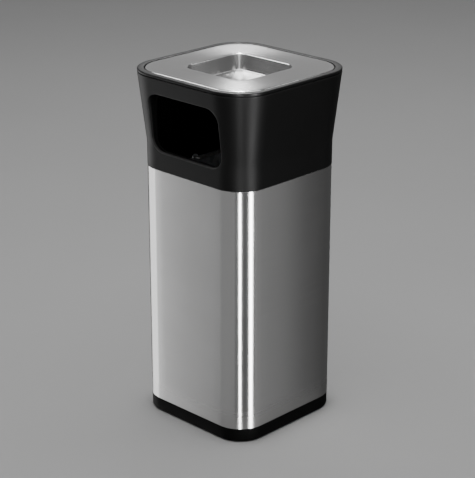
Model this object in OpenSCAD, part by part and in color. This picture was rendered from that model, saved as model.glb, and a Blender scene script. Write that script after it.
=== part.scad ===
// Free-standing ashtray bin: steel tube on a moulded plinth, with a lift-off flared head,
// a lift-out ashtray and a lift-out inner bin. Front is -Y, up is +Z, and the origin is on
// the floor under the middle of the bin. Sizes are in millimetres.

/* [Body] */
// Width of the tube across its flats
body_w = 240; // [200:1:320]
// Outer radius of the tube's corners
corner_r = 47.5; // [44:0.5:60]
// Length of the tube
tube_len = 409.5; // [320:0.5:560]
// Thickness of the tube's sheet
tube_wall = 0.8; // [0.6:0.1:1.5]
// Width of the strip behind the rear seam
seam_w = 24; // [16:1:40]
// Thickness of that strip
seam_t = 0.8; // [0.6:0.1:1.2]

/* [Top frame] */
// Height of the hoop inside the tube's top edge
frame_h = 19.7; // [16:0.1:30]
// Thickness of the hoop
frame_t = 1.5; // [1:0.1:2]
// Width of the hoop's inward ledge, over the upright leg
frame_ledge = 7.6; // [6:0.1:8]

/* [Plinth] */
// Height of the visible plinth above the floor
plinth_h = 24; // [23:1:40]
// How far the plinth stands in from the tube's face
plinth_inset = 0.4; // [0:0.1:0.6]
// Thickness of the plinth's wall
plinth_wall = 3.4; // [2.5:0.1:4]
// Height of the plinth's spigot inside the tube
spigot_h = 20; // [14:1:30]
// Thickness of the plinth's deck
deck_t = 3; // [2:0.5:5]
// Gap between the floor and the plinth's lower edge
plinth_gap = 1; // [1:0.5:4]
// Radius of the plinth's lower edge
plinth_edge_r = 1.5; // [1:0.5:3]
// Thickness of the floor panel
floor_t = 1; // [0.6:0.1:1.5]
// Distance from the tube's face to each foot's middle
foot_inset = 32; // [28:1:44]
// Radius of a foot pad
foot_r = 13; // [10:1:14]
// Height of a foot pad
foot_h = 6; // [5:0.5:7]
// Radius of the foot screws
foot_screw_r = 2; // [1.5:0.5:2.5]

/* [Head] */
// Height from the tube's top edge to the head's upper edge
head_h = 155.7; // [140:0.1:190]
// Height of the head's upright band
band_h = 41; // [25:1:50]
// How far the head flares out on each side
flare = 13.6; // [6:0.1:16]
// Radius where the band turns into the flare
kink_r = 100; // [40:10:140]
// How far the head's band stands proud of the tube
head_proud = 0.4; // [0:0.1:1]
// Thickness of the head's wall
head_wall = 3; // [2.5:0.1:3.5]
// Thickness of the skirt that drops inside the tube
skirt_t = 3; // [2:0.1:3]
// Distance from the tube's side to the deposit opening's side
opening_side = 41.5; // [38:0.5:60]
// Height of the deposit opening
opening_h = 98; // [70:1:104]
// Corner radius of the deposit opening
opening_r = 24; // [10:1:30]
// Height of the opening's lower edge over the tube's top edge
opening_sill = 31.5; // [26:0.5:36]
// Thickness of the lip round the opening
lip_t = 2.5; // [2:0.1:3.5]
// Depth of the lip, measured from the head's band inwards
lip_depth = 12; // [8:1:14]

/* [Rim] */
// Width of the rim round the ashtray
rim_w = 10.1; // [8:0.1:14]
// Depth of the recess that the ashtray lies in
recess_d = 4.6; // [4.2:0.1:6]
// Height of the rim over its parting groove
rim_h = 4; // [3.6:0.1:6]
// Height of the parting groove
groove_h = 1.6; // [1:0.1:2.5]
// Depth of the parting groove
groove_d = 2; // [1:0.1:2.2]
// Thickness of the rim's ledge
ledge_t = 3; // [2:0.1:4]
// Width of the ledge under the ashtray
ledge_w = 10.9; // [9:0.1:12]
// Depth of the rim's spigot inside the head
rim_spigot_h = 8; // [5:1:12]
// Thickness of that spigot
rim_spigot_t = 2.5; // [2:0.1:3]
// Radius of the rim's outer edge
rim_edge_r = 1.6; // [0.8:0.1:2]
// Radius of the rim screws
rim_screw_r = 1.6; // [1.2:0.1:2]

/* [Ashtray] */
// How much nearer the middle the plate's corner centres lie than the tube's
plate_corner_in = 3.4; // [0:0.1:6]
// Thickness of the ashtray's sheet
tray_sheet = 0.8; // [0.6:0.1:1.2]
// Radius of the plate's outer edge
plate_edge_r = 1.5; // [1:0.1:2]
// Width of the dish at the plate, inside its lip
dish_w = 134; // [110:1:150]
// Corner radius of the dish at the plate
dish_r = 23; // [19:1:30]
// Depth of the dish
dish_depth = 24; // [16:1:30]
// Slope of the dish's walls from upright
dish_slope = 30; // [15:1:35]
// Radius of the dish's lip
dish_lip_r = 2.5; // [1.5:0.1:4]
// Radius between the dish's wall and its floor
dish_floor_r = 3; // [2:0.5:4]

/* [Inner bin] */
// Gap between the inner bin's rim and the hoop's ledge, on each side
liner_side_gap = 2.3; // [1:0.1:20]
// How much nearer the middle its corner centres lie than the tube's
liner_corner_in = 2.5; // [1:0.5:6]
// Thickness of its sheet
liner_wall = 0.7; // [0.5:0.1:1]
// Gap between its rim and the hoop's underside
liner_under = 1.5; // [1:0.5:40]
// Height of the folded hem at its rim
hem_h = 7; // [4:1:10]
// Thickness of the folded hem
hem_t = 2.4; // [1.6:0.1:2.6]
// Height of its floor over its lower edge
liner_floor_up = 6; // [6:0.5:12]

/* [Bail] */
// Diameter of the bail's wire
wire_d = 5; // [4:0.5:6]
// Distance from the rim's outer face to the middle of the grip that rests on it
bail_rest = 3.7; // [2.5:0.1:5]
// Distance from each ear to the middle of the bail's arm
bail_side = 5.8; // [5.8:0.1:8]
// Radius of the bail's two far bends
bail_bend_r = 52; // [30:1:60]
// Radius of the bends at the pivots
elbow_r = 5; // [4:0.5:5]
// Radius of the grip
grip_r = 6.2; // [5:0.1:7]
// Length of straight wire left bare at each end of the grip
grip_end = 4; // [1:0.5:20]
// Thickness of an ear
ear_t = 1.5; // [1:0.1:2]
// Radius of an ear's round end
ear_r = 7; // [6:0.5:9]
// Depth of an ear below the rim
ear_drop = 20; // [18:1:30]
// Radius of the ear rivets
rivet_r = 2; // [1.5:0.1:2.2]

/* [Clearances] */
// Gap under each piece that lifts off
seat_gap = 0.3; // [0.2:0.1:0.5]
// Gap round each nested sheet or moulding
nest_gap = 0.1; // [0.1:0.05:0.3]
// Gap between the head's skirt and the top frame
skirt_gap = 0.4; // [0.3:0.1:0.8]
// Gap between the ashtray plate and the rim
plate_gap = 1.2; // [0.6:0.1:2]
// Gap round a screw or rivet in its hole
hole_gap = 0.1; // [0.05:0.05:0.3]
// Gap round the bail's ends in the ears
pivot_gap = 0.3; // [0.2:0.1:0.5]

/* [Hidden] */
$fn = 96;

black_plastic = "#1a1b1d";
steel = "#b9bbbd";
zinc = "#9aa0a3";
rubber_black = "#101010";

// Tube and plinth. Corners of nested rounded squares share their centres, core away from the middle.
body_half = body_w / 2;
core = body_half - corner_r;
tube_in = body_half - tube_wall;
tube_z0 = plinth_h;
tube_z1 = tube_z0 + tube_len;
plinth_half = body_half - plinth_inset;
spigot_half = tube_in - skirt_gap;
plinth_in = plinth_half - plinth_wall;
spigot_z1 = plinth_h + spigot_h;
spigot_lead = 0.8;
deck_z1 = plinth_h - floor_t;
deck_z0 = deck_z1 - deck_t;
deck_root = 0.8;
rib_t = 2.5;
rib_pos = 40;
rib_up = 3;
bite = 1; // how far the pieces of one solid run into each other
boss_r = 8;
foot_pos = body_half - foot_inset;
hem_foot = 0.4;
seam_end = 2;

// Top frame
frame_half = tube_in - nest_gap;
frame_in = frame_half - frame_t;
frame_z1 = tube_z1 - seat_gap;
frame_z0 = frame_z1 - frame_h;
frame_ledge_half = frame_in - frame_ledge;

// Foot fasteners
foot_head_r = foot_screw_r + 1.8;
foot_head_h = 2.4;
foot_seat_t = 2;
foot_seat_z = foot_h - foot_seat_t;
foot_bevel = 1;
nut_h = 3.2;
nut_ring = 2.04;
nut_r = foot_screw_r + nut_ring;
screw_tail = 1.8;

// Head
head_z0 = tube_z1 + seat_gap;
head_z1 = tube_z1 + head_h;
band_half = body_half + head_proud;
head_half = band_half + flare;
kink_z = tube_z1 + band_h;
kink_angle = atan(flare / (head_z1 - kink_z));
kink_run = kink_r * tan(kink_angle / 2);
kink_steps = 5;
skirt_half = frame_in - skirt_gap;
skirt_in = skirt_half - skirt_t;
skirt_z0 = frame_z0 + frame_t + seat_gap;
skirt_ramp = 6;
opening_z0 = tube_z1 + opening_sill;
opening_z = opening_z0 + opening_h / 2;
opening_w = body_w - 2 * opening_side;
lip_in = body_half - lip_depth;

// Rim
rim_half = head_half;
rim_z0 = head_z1 + groove_h;
rim_z1 = rim_z0 + rim_h;
recess_half = rim_half - rim_w;
plate_half = recess_half - plate_gap;
plate_core = core - plate_corner_in;
ledge_z1 = rim_z1 - recess_d;
ledge_z0 = ledge_z1 - ledge_t;
ledge_in = recess_half - ledge_w;
rim_neck_half = rim_half - groove_d;
rim_spigot_gap = 1.5;
rim_spigot_half = head_half - head_wall - rim_spigot_gap;
rim_spigot_in = rim_spigot_half - rim_spigot_t;
rim_edge_steps = 4;

// Rim screws, on the corner diagonals, and their bosses
rim_screw_edge = 3.4;
rim_screw_pos = core + (ledge_in - core + rim_screw_edge) * cos(45);
rim_boss_r = 4;
rim_boss_h = 16;
rim_head_r = rim_screw_r + 1.4;
rim_head_h = 2;
rim_boss_z0 = ledge_z0 - rim_boss_h;
rim_web_t = 2.5;
rim_web_z1 = head_z1 - rim_spigot_h - seat_gap;
pad_r = 3.6;

// Ashtray
tray_z1 = rim_z1 - 0.2;
tray_under = tray_z1 - tray_sheet;
plate_ring = plate_half - 5;
dish_half = dish_w / 2;
dish_core = dish_half - dish_r;
dish_floor_z = tray_z1 - dish_depth;
lip_z = tray_z1 - dish_lip_r;
wall_top = [dish_half - dish_lip_r * cos(dish_slope), lip_z + dish_lip_r * sin(dish_slope)];
floor_arc_z = dish_floor_z + dish_floor_r;
wall_foot_z = floor_arc_z - dish_floor_r * sin(dish_slope);
wall_foot = wall_top[0] - (wall_top[1] - wall_foot_z) * tan(dish_slope);
floor_arc = wall_foot - dish_floor_r * cos(dish_slope);

// Inner bin
hem_half = frame_ledge_half - liner_side_gap;
liner_in = hem_half - hem_t;
liner_half = liner_in + liner_wall;
liner_core = core - liner_corner_in;
liner_z0 = plinth_h + seat_gap;
liner_z1 = frame_z0 - liner_under;
hem_round = 0.5;
liner_floor_z = liner_z0 + liner_floor_up;

// Bail and ears
pivot_z = liner_z1 + seat_gap + grip_r;
wire_r = wire_d / 2;
ear_out = liner_in;
ear_in = ear_out - ear_t;
bail_arm = ear_in - bail_side;
bail_reach = hem_half - bail_rest;
grip_len = 2 * (bail_arm - bail_bend_r - grip_end);
ear_z0 = liner_z1 - ear_drop;
pin_end = ear_out + 2.4;
pin_head_t = 1.4;
pin_head_r = wire_r + 1.3;
rivet_z = ear_z0 + 5;
rivet_y = 4;
rivet_head_r = rivet_r + 1.2;
rivet_head_t = 1;
grip_bevel = 1;

function arc(cx, cz, r, a0, a1, n) =
    [for (i = [0:n]) [cx + r * cos(a0 + (a1 - a0) * i / n), cz + r * sin(a0 + (a1 - a0) * i / n)]];

// Points given as [distance from the middle plane, height], moved to start at a corner's centre
function from_core(c, points) = [for (p = points) [p[0] - c, p[1]]];

// Points of the head's outer face, offset inwards by t
function head_face(t) =
    let (r = kink_r + t, c = [band_half + kink_r, kink_z - kink_run])
    [for (i = [0:kink_steps])
        let (a = 180 - kink_angle * i / kink_steps)
        [c[0] + r * cos(a), c[1] + r * sin(a)]];

module rounded_square(half, r) {
    flat = half - r;
    square([2 * half, 2 * flat], center = true);
    square([2 * flat, 2 * half], center = true);
    for (x = [-flat, flat], y = [-flat, flat])
        translate([x, y]) circle(r);
}

module rounded_block(half, r, z0, z1) {
    translate([0, 0, z0]) linear_extrude(z1 - z0) rounded_square(half, r);
}

// A profile carried round a square whose corner centres lie c away from the middle planes
module hoop(c, points) {
    profile = from_core(c, points);
    for (i = [0:3]) rotate([0, 0, 90 * i]) {
        translate([c, c, 0]) rotate_extrude(angle = 90) polygon(profile);
        translate([c, 0, 0]) rotate([90, 0, 0]) linear_extrude(2 * c, center = true) polygon(profile);
    }
}

module at_corners(d) {
    for (x = [-d, d], y = [-d, d]) translate([x, y, 0]) children();
}

// A rounded rectangle in the XZ plane, extruded along Y
module window(w, h, r, y0, y1) {
    translate([0, y1, opening_z]) rotate([90, 0, 0]) linear_extrude(y1 - y0) {
        square([w, h - 2 * r], center = true);
        square([w - 2 * r, h], center = true);
        for (x = [-1, 1], z = [-1, 1])
            translate([x * (w / 2 - r), z * (h / 2 - r)]) circle(r);
    }
}

module body_tube() {
    color(steel) hoop(core, [[tube_in, tube_z0], [body_half, tube_z0],
                             [body_half, tube_z1], [tube_in, tube_z1]]);
}

module seam_strip() {
    z0 = spigot_z1 + seam_end;
    color(steel) translate([-seam_w / 2, tube_in - seam_t, z0])
        cube([seam_w, seam_t, frame_z0 - seam_end - z0]);
}

module top_frame() {
    ledge = frame_ledge_half;
    z = frame_z0 + frame_t;
    color(zinc) hoop(core, [[ledge, frame_z0], [frame_half, frame_z0], [frame_half, frame_z1],
                            [frame_in, frame_z1], [frame_in, z], [ledge, z]]);
}

module base_plinth() {
    edge = arc(plinth_half - plinth_edge_r, plinth_gap + plinth_edge_r, plinth_edge_r, -90, 0, 4);
    wall = concat([[plinth_in, plinth_gap]], edge,
                  [[plinth_half, plinth_h], [spigot_half, plinth_h],
                   [spigot_half, spigot_z1 - spigot_lead], [spigot_half - spigot_lead, spigot_z1],
                   [plinth_in, spigot_z1]]);
    deck = plinth_in + deck_root;
    rib_z0 = plinth_gap + rib_up;
    color(black_plastic) difference() {
        union() {
            hoop(core, wall);
            rounded_block(deck, deck - core, deck_z0, deck_z1);
            for (p = [-rib_pos, rib_pos]) {
                translate([p - rib_t / 2, -deck, rib_z0]) cube([rib_t, 2 * deck, deck_z0 + bite - rib_z0]);
                translate([-deck, p - rib_t / 2, rib_z0]) cube([2 * deck, rib_t, deck_z0 + bite - rib_z0]);
            }
            at_corners(foot_pos) translate([0, 0, foot_h]) cylinder(deck_z0 - foot_h + bite, r = boss_r);
        }
        at_corners(foot_pos) translate([0, 0, foot_h - 1])
            cylinder(deck_z1 - foot_h + 2, r = foot_screw_r + hole_gap);
    }
}

module floor_panel() {
    half = plinth_in - nest_gap;
    color(zinc) difference() {
        rounded_block(half, half - core, deck_z1, plinth_h);
        at_corners(foot_pos) translate([0, 0, deck_z1 - 1])
            cylinder(floor_t + 2, r = foot_screw_r + hole_gap);
    }
}

module foot_pads() {
    color(rubber_black) at_corners(foot_pos) rotate_extrude() {
        hole = foot_screw_r + hole_gap;
        bore = foot_head_r + hole_gap;
        polygon([[bore, 0], [foot_r - foot_bevel, 0], [foot_r, foot_bevel], [foot_r, foot_h],
                 [hole, foot_h], [hole, foot_seat_z], [bore, foot_seat_z]]);
    }
}

module foot_screws() {
    top = plinth_h + nut_h + screw_tail;
    under = foot_seat_z - foot_head_h;
    color(steel) at_corners(foot_pos) rotate_extrude()
        polygon([[0, under + 1], [1.4, under + 1], [1.4, under], [foot_head_r - 0.6, under],
                 [foot_head_r, under + 1], [foot_head_r, foot_seat_z], [foot_screw_r, foot_seat_z],
                 [foot_screw_r, top - 0.6], [foot_screw_r - 0.6, top], [0, top]]);
}

module foot_nuts() {
    color(steel) at_corners(foot_pos) translate([0, 0, plinth_h]) difference() {
        cylinder(nut_h, r = nut_r, $fn = 6);
        translate([0, 0, -1]) cylinder(nut_h + 2, r = foot_screw_r + hole_gap);
    }
}

// Section of the head's wall, with the skirt that drops inside the tube
function head_section() =
    let (outer = head_face(0), inner = head_face(head_wall), top = [head_half, head_z1])
    concat([[skirt_in, skirt_z0], [skirt_half, skirt_z0], [skirt_half, head_z0], [band_half, head_z0]],
           outer, [top, [head_half - head_wall, head_z1]],
           [for (i = [kink_steps:-1:0]) inner[i]],
           [[band_half - head_wall, head_z0 + head_wall + skirt_ramp], [skirt_in, head_z0 + head_wall]]);

// The head's solid form from the band up, as far as the middle of its wall
module head_form() {
    mid = head_face(head_wall / 2);
    z0 = head_z0 + head_wall;
    half = band_half - head_wall / 2;
    top = [head_half - head_wall / 2, head_z1 - 2];
    hoop(core, concat([[core + 1, z0], [half, z0]], mid, [top, [core + 1, top[1]]]));
}

module head_shell() {
    color(black_plastic) difference() {
        union() {
            hoop(core, head_section());
            intersection() {
                window(opening_w + 2 * lip_t, opening_h + 2 * lip_t, opening_r + lip_t,
                       -head_half, -lip_in);
                head_form();
            }
            for (a = [0:3]) rotate([0, 0, 90 * a]) rim_boss();
        }
        window(opening_w, opening_h, opening_r, -head_half - 5, -lip_in + 5);
        at_corners(rim_screw_pos) translate([0, 0, rim_boss_z0 - 1])
            cylinder(rim_boss_h + 2, r = rim_screw_r + hole_gap);
    }
}

// Boss for a rim screw, and the web that ties it to the head's wall
module rim_boss() {
    reach = head_half - head_wall - core - (rim_screw_pos - core) / cos(45);
    translate([rim_screw_pos, rim_screw_pos, rim_boss_z0]) {
        cylinder(rim_boss_h, r = rim_boss_r);
        rotate([0, 0, 45]) translate([0, -rim_web_t / 2, 0])
            cube([reach, rim_web_t, rim_web_z1 - rim_boss_z0]);
    }
}

module top_bezel() {
    edge = arc(rim_half - rim_edge_r, rim_z1 - rim_edge_r, rim_edge_r, 0, 90, rim_edge_steps);
    mid = recess_half + 1;
    rim = concat([[rim_spigot_in, ledge_z0], [rim_spigot_in, head_z1 - rim_spigot_h],
                  [rim_spigot_half, head_z1 - rim_spigot_h], [rim_spigot_half, head_z1],
                  [rim_neck_half, head_z1], [rim_neck_half, rim_z0], [rim_half, rim_z0]],
                 edge, [[mid, rim_z1], [mid, ledge_z0]]);
    color(black_plastic) difference() {
        union() {
            hoop(core, rim);
            difference() {
                rounded_block(mid, mid - core, ledge_z0, rim_z1);
                rounded_block(recess_half, recess_half - plate_core, ledge_z1, rim_z1 + 1);
                rounded_block(ledge_in, ledge_in - core, ledge_z0 - 1, rim_z1);
            }
        }
        at_corners(rim_screw_pos) translate([0, 0, ledge_z0 - 1])
            cylinder(ledge_t + 2, r = rim_screw_r + hole_gap);
    }
}

module bezel_screws() {
    under = rim_boss_z0 + 4;
    head = ledge_z1 + rim_head_h;
    color(steel) at_corners(rim_screw_pos) rotate_extrude()
        polygon([[0, under], [rim_screw_r, under + 2], [rim_screw_r, ledge_z1],
                 [rim_head_r, ledge_z1], [rim_head_r, head - 0.8], [rim_head_r - 0.8, head],
                 [1, head], [1, head - 1], [0, head - 1]]);
}

module tray_pads() {
    color(rubber_black) for (a = [0:3]) rotate([0, 0, 90 * a])
        translate([ledge_in + ledge_w / 2 - 0.6, 0, ledge_z1])
            cylinder(tray_under - seat_gap - ledge_z1, r = pad_r);
}

// Section of the plate's turned-down outer edge
function plate_edge() =
    let (c = plate_half - plate_edge_r, z = tray_z1 - plate_edge_r, foot = ledge_z1 + seat_gap)
    concat([[plate_ring, tray_under]], arc(c, z, plate_edge_r - tray_sheet, 90, 0, 3),
           [[plate_half - tray_sheet, foot], [plate_half, foot]],
           arc(c, z, plate_edge_r, 0, 90, 4), [[plate_ring, tray_z1]]);

// Section of the dish's wall, from its lip to its floor
function dish_wall() =
    concat(arc(dish_half, lip_z, dish_lip_r, 90, 180 - dish_slope, 4),
           arc(floor_arc, floor_arc_z, dish_floor_r, -dish_slope, -90, 3),
           arc(floor_arc, floor_arc_z, dish_floor_r + tray_sheet, -90, -dish_slope, 3),
           arc(dish_half, lip_z, dish_lip_r - tray_sheet, 180 - dish_slope, 90, 4));

module ashtray_pan() {
    color(steel) {
        hoop(plate_core, plate_edge());
        difference() {
            rounded_block(plate_ring, plate_ring - plate_core, tray_under, tray_z1);
            rounded_block(dish_half, dish_r, tray_under - 1, tray_z1 + 1);
        }
        hoop(dish_core, dish_wall());
        rounded_block(floor_arc, floor_arc - dish_core, dish_floor_z - tray_sheet, dish_floor_z);
    }
}

module liner_bucket() {
    z = liner_z1 - hem_h;
    color(zinc) difference() {
        hoop(liner_core, [[liner_in, liner_z0], [liner_half, liner_z0], [liner_half, z], [hem_half, z],
                          [hem_half, liner_z1 - hem_round], [hem_half - hem_round, liner_z1],
                          [liner_in, liner_z1]]);
        ear_holes();
    }
}

module liner_floor() {
    half = liner_in - nest_gap;
    foot = liner_z0 + hem_foot;
    under = liner_floor_z - liner_wall;
    inner = half - liner_wall;
    color(zinc) {
        hoop(liner_core, [[inner, foot], [half, foot], [half, liner_floor_z], [inner, liner_floor_z]]);
        rounded_block(inner, inner - liner_core, under, liner_floor_z);
    }
}

// Rivet holes through the ears and the inner bin's wall
module ear_holes() {
    for (s = [0, 180], y = [-rivet_y, rivet_y]) rotate([0, 0, s])
        translate([ear_in - 2, y, rivet_z]) rotate([0, 90, 0])
            cylinder(liner_wall + ear_t + 4, r = rivet_r + hole_gap / 2);
}

module bail_ears() {
    color(zinc) difference() {
        for (s = [0, 180]) rotate([0, 0, s]) translate([ear_in, 0, 0]) {
            translate([0, -ear_r, ear_z0]) cube([ear_t, 2 * ear_r, pivot_z - ear_z0]);
            translate([0, 0, pivot_z]) rotate([0, 90, 0]) cylinder(ear_t, r = ear_r);
        }
        ear_holes();
        for (s = [0, 180]) rotate([0, 0, s]) translate([ear_in - 1, 0, pivot_z]) rotate([0, 90, 0])
            cylinder(ear_t + 2, r = wire_r + pivot_gap);
    }
}

module ear_rivets() {
    t = rivet_head_t;
    h = rivet_head_r;
    len = liner_wall + ear_t;
    color(steel) for (s = [0, 180], y = [-rivet_y, rivet_y]) rotate([0, 0, s])
        translate([ear_in, y, rivet_z]) rotate([0, 90, 0]) rotate_extrude()
            polygon([[0, -t], [h - t / 2, -t], [h, -t / 2], [h, 0], [rivet_r, 0], [rivet_r, len],
                     [h, len], [h, len + t / 2], [h - t / 2, len + t], [0, len + t]]);
}

// Half of the bail's wire, from its pivot pin to the middle of the grip
module half_bail() {
    bend = bail_arm - bail_bend_r;
    far = bail_reach - bail_bend_r;
    pin = bail_arm + elbow_r;
    translate([pin, 0, 0]) rotate([0, 90, 0]) cylinder(pin_end - pin + 0.5, r = wire_r);
    translate([pin_end - 0.1, 0, 0]) rotate([0, 90, 0]) cylinder(pin_head_t, r = pin_head_r);
    translate([pin, elbow_r, 0]) rotate([0, 0, 180]) rotate_extrude(angle = 90)
        translate([elbow_r, 0]) circle(wire_r);
    translate([bail_arm, elbow_r, 0]) rotate([-90, 0, 0]) cylinder(far - elbow_r, r = wire_r);
    translate([bend, far, 0]) rotate_extrude(angle = 90) translate([bail_bend_r, 0]) circle(wire_r);
}

module bail_wire() {
    bend = bail_arm - bail_bend_r;
    color(steel) translate([0, 0, pivot_z]) {
        half_bail();
        mirror([1, 0, 0]) half_bail();
        translate([-bend, bail_reach, 0]) rotate([0, 90, 0]) cylinder(2 * bend, r = wire_r);
    }
}

module bail_grip() {
    half = grip_len / 2;
    bore = wire_r + hole_gap;
    color(black_plastic) translate([0, bail_reach, pivot_z]) rotate([0, 90, 0]) rotate_extrude()
        polygon([[bore, -half], [grip_r - grip_bevel, -half], [grip_r, -half + grip_bevel],
                 [grip_r, half - grip_bevel], [grip_r - grip_bevel, half], [bore, half]]);
}

body_tube();
seam_strip();
top_frame();
base_plinth();
floor_panel();
foot_pads();
foot_screws();
foot_nuts();
head_shell();
top_bezel();
bezel_screws();
tray_pads();
ashtray_pan();
liner_bucket();
liner_floor();
bail_ears();
ear_rivets();
bail_wire();
bail_grip();
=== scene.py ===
import math

import bmesh
import bpy
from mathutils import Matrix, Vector


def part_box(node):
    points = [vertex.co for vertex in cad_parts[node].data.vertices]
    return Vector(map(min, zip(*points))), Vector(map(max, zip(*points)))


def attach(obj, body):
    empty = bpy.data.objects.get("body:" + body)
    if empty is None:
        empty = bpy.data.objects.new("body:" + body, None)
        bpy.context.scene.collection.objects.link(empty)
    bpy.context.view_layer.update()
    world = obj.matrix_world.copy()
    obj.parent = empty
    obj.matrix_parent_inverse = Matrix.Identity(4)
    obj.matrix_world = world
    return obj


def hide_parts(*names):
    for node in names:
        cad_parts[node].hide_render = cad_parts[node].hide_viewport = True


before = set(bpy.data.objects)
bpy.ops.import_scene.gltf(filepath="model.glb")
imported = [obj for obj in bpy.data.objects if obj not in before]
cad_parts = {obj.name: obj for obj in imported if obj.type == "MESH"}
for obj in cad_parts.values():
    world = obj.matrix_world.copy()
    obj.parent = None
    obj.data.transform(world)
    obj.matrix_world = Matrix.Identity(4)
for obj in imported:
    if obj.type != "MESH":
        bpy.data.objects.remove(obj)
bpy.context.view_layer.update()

print("frame loaded:", len(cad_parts), "nodes")

# A low three-quarter view on one upright corner, so the front and the right side show equally
cameraSet = {"azimuth": 44.37, "elevation": 20.78, "distance": 2.663, "aimHeight": 0.300,
             "lens": 120.76, "sensor": 36.0, "shiftX": -0.0046, "near": 0.05, "far": 60.0}


def makeCamera():
    turn = math.radians(cameraSet["azimuth"])
    rise = math.radians(cameraSet["elevation"])
    back = Vector((math.sin(turn) * math.cos(rise), -math.cos(turn) * math.cos(rise), math.sin(rise)))
    data = bpy.data.cameras.new("viewCamera")
    data.lens = cameraSet["lens"]
    data.sensor_width = cameraSet["sensor"]
    data.shift_x = cameraSet["shiftX"]
    data.clip_start = cameraSet["near"]
    data.clip_end = cameraSet["far"]
    camera = bpy.data.objects.new("viewCamera", data)
    camera.location = Vector((0, 0, cameraSet["aimHeight"])) + back * cameraSet["distance"]
    camera.rotation_mode = "QUATERNION"
    camera.rotation_quaternion = (-back).to_track_quat("-Z", "Y")
    bpy.context.scene.collection.objects.link(camera)
    bpy.context.scene.camera = camera


makeCamera()
print("camera set")


# Shader maths as Python expressions: a Wire is one output socket, and operators add Math nodes
class Wire:
    def __init__(self, finish, socket):
        self.finish = finish
        self.socket = socket

    def maths(self, operation, first, second):
        return self.finish.put("ShaderNodeMath", {"operation": operation}, {0: first, 1: second})

    def __add__(self, other):
        return self.maths("ADD", self, other)

    def __radd__(self, other):
        return self.maths("ADD", other, self)

    def __sub__(self, other):
        return self.maths("SUBTRACT", self, other)

    def __rsub__(self, other):
        return self.maths("SUBTRACT", other, self)

    def __mul__(self, other):
        return self.maths("MULTIPLY", self, other)

    def __rmul__(self, other):
        return self.maths("MULTIPLY", other, self)


class Finish:
    def __init__(self, name):
        self.material = bpy.data.materials.new(name)
        self.material.use_nodes = True
        self.tree = self.material.node_tree
        self.tree.nodes.clear()

    # Adds one node: its settings first, then the values or links of its sockets
    def put(self, kind, settings=None, sockets=None, out=0):
        node = self.tree.nodes.new(kind)
        for key, value in (settings or {}).items():
            setattr(node, key, value)
        for key, value in (sockets or {}).items():
            if isinstance(value, Wire):
                self.tree.links.new(value.socket, node.inputs[key])
            else:
                node.inputs[key].default_value = value
        return Wire(self, node.outputs[out])

    # The piece's own coordinates, stretched, and turned about the upright axis by so many degrees
    def place(self, stretch=(1, 1, 1), turn=0.0):
        coords = self.put("ShaderNodeTexCoord", out="Object")
        return self.put("ShaderNodeMapping", {"vector_type": "POINT"},
                        {"Vector": coords, "Scale": stretch, "Rotation": (0, 0, math.radians(turn))})

    def noise(self, scale, detail=3.0, rough=0.5, stretch=(1, 1, 1), turn=0.0):
        return self.put("ShaderNodeTexNoise", {"noise_dimensions": "3D"},
                        {"Vector": self.place(stretch, turn), "Scale": scale, "Detail": detail,
                         "Roughness": rough})

    # Turns a wire's range low..high into 0..1, clamped
    def span(self, wire, low, high):
        return self.put("ShaderNodeMapRange", {"clamp": True},
                        {"Value": wire, "From Min": low, "From Max": high, "To Min": 0.0, "To Max": 1.0})

    def clamp(self, wire):
        return self.put("ShaderNodeClamp", {}, {"Value": wire, "Min": 0.0, "Max": 1.0})

    # Blends two colours
    def tone(self, factor, first, second):
        return self.put("ShaderNodeMix", {"data_type": "RGBA"},
                        {0: factor, 6: first, 7: second}, out=2)

    # How worn an edge is, and where a highlight is painted on it: the mesh's own value for this, broken up by
    # noise
    def rubAndHighlight(self, scale=260.0, low=0.42, high=0.62):
        edge = self.put("ShaderNodeAttribute", {"attribute_name": "rubAndHighlight"}, out="Fac")
        return self.clamp(edge * self.span(self.noise(scale, 4.0, 0.6), low, high))

    # 0 below the low height and 1 above the high one, both in metres
    def height(self, low, high):
        coords = self.put("ShaderNodeTexCoord", out="Object")
        return self.span(self.put("ShaderNodeSeparateXYZ", {}, {0: coords}, out=2), low, high)

    def bump(self, wire, strength, distance):
        return self.put("ShaderNodeBump", {}, {"Strength": strength, "Distance": distance, "Height": wire})

    # The closing shader. An underscore in a name stands for the space in the socket's own name
    def surface(self, **sockets):
        names = {key.replace("_", " "): value for key, value in sockets.items()}
        shader = self.put("ShaderNodeBsdfPrincipled", {}, names)
        output = self.tree.nodes.new("ShaderNodeOutputMaterial")
        self.tree.links.new(shader.socket, output.inputs["Surface"])
        return self.material


def grey(value, warm=0.0):
    return (value * (1 + warm), value, value * (1 - warm), 1)


steelWarm = 0.004  # how far stainless steel leans from grey to yellow


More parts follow.
